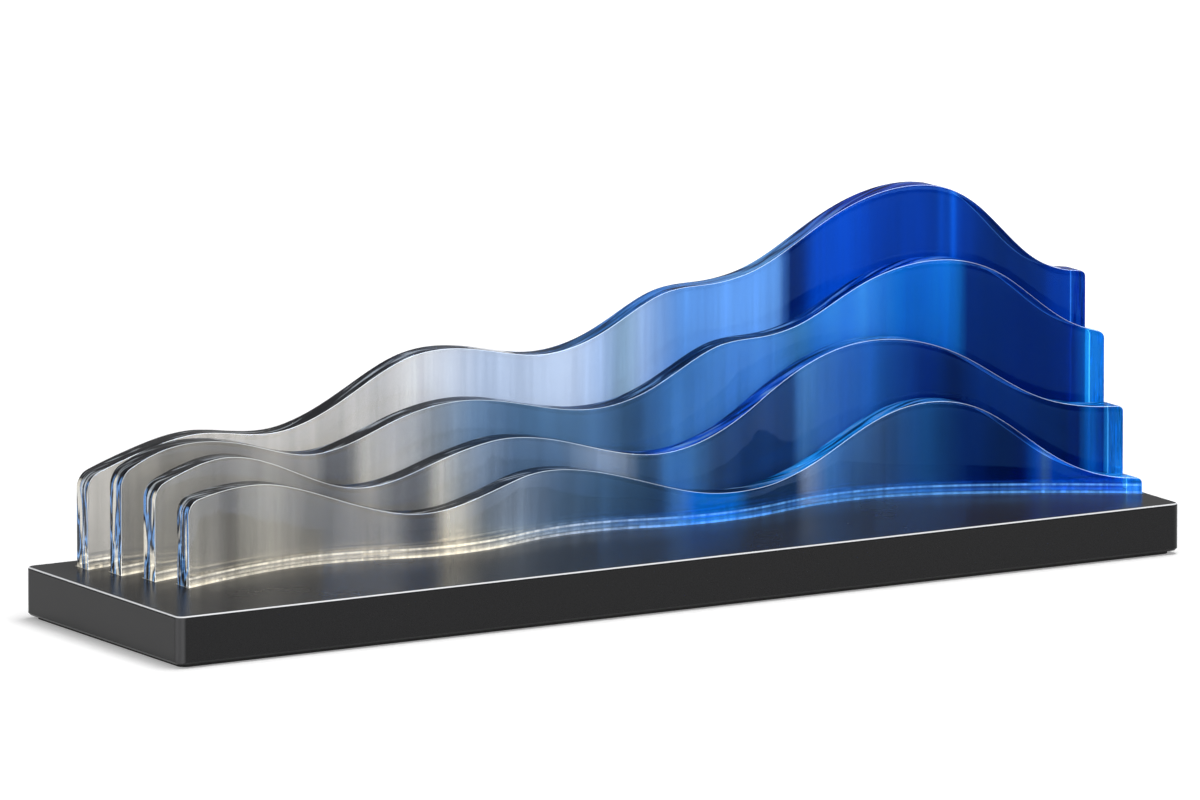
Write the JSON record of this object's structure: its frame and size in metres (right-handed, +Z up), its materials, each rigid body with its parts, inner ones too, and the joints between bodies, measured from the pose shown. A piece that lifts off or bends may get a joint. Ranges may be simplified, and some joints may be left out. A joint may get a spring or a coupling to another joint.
{
  "type": "glass wave sculpture",
  "caption": "Row of clear glass waves of rising height, each standing in a serpentine groove of a flat black metal plate.",
  "frame": {"origin": "middle of the pad's underside, on the table", "axes": "+X along the plate, towards the high end of the waves; +Y from the front wave to the back wave; +Z up"},
  "size_m": [0.4, 0.106, 0.1218],
  "materials": {
    "pad": "thin black non-slip rubber sheet",
    "black_metal": "smooth satin black coat",
    "adhesive": "clear cured adhesive",
    "clear_glass": "clear slumped glass with polished faces and arrises"
  },
  "bodies": {
    "root": {"base_pad": "pad", "base_plate": "black_metal", "front_seam": "adhesive", "second_seam": "adhesive", "third_seam": "adhesive", "back_seam": "adhesive", "front_wave": "clear_glass", "second_wave": "clear_glass", "third_wave": "clear_glass", "back_wave": "clear_glass"}
  },
  "joints": []
}
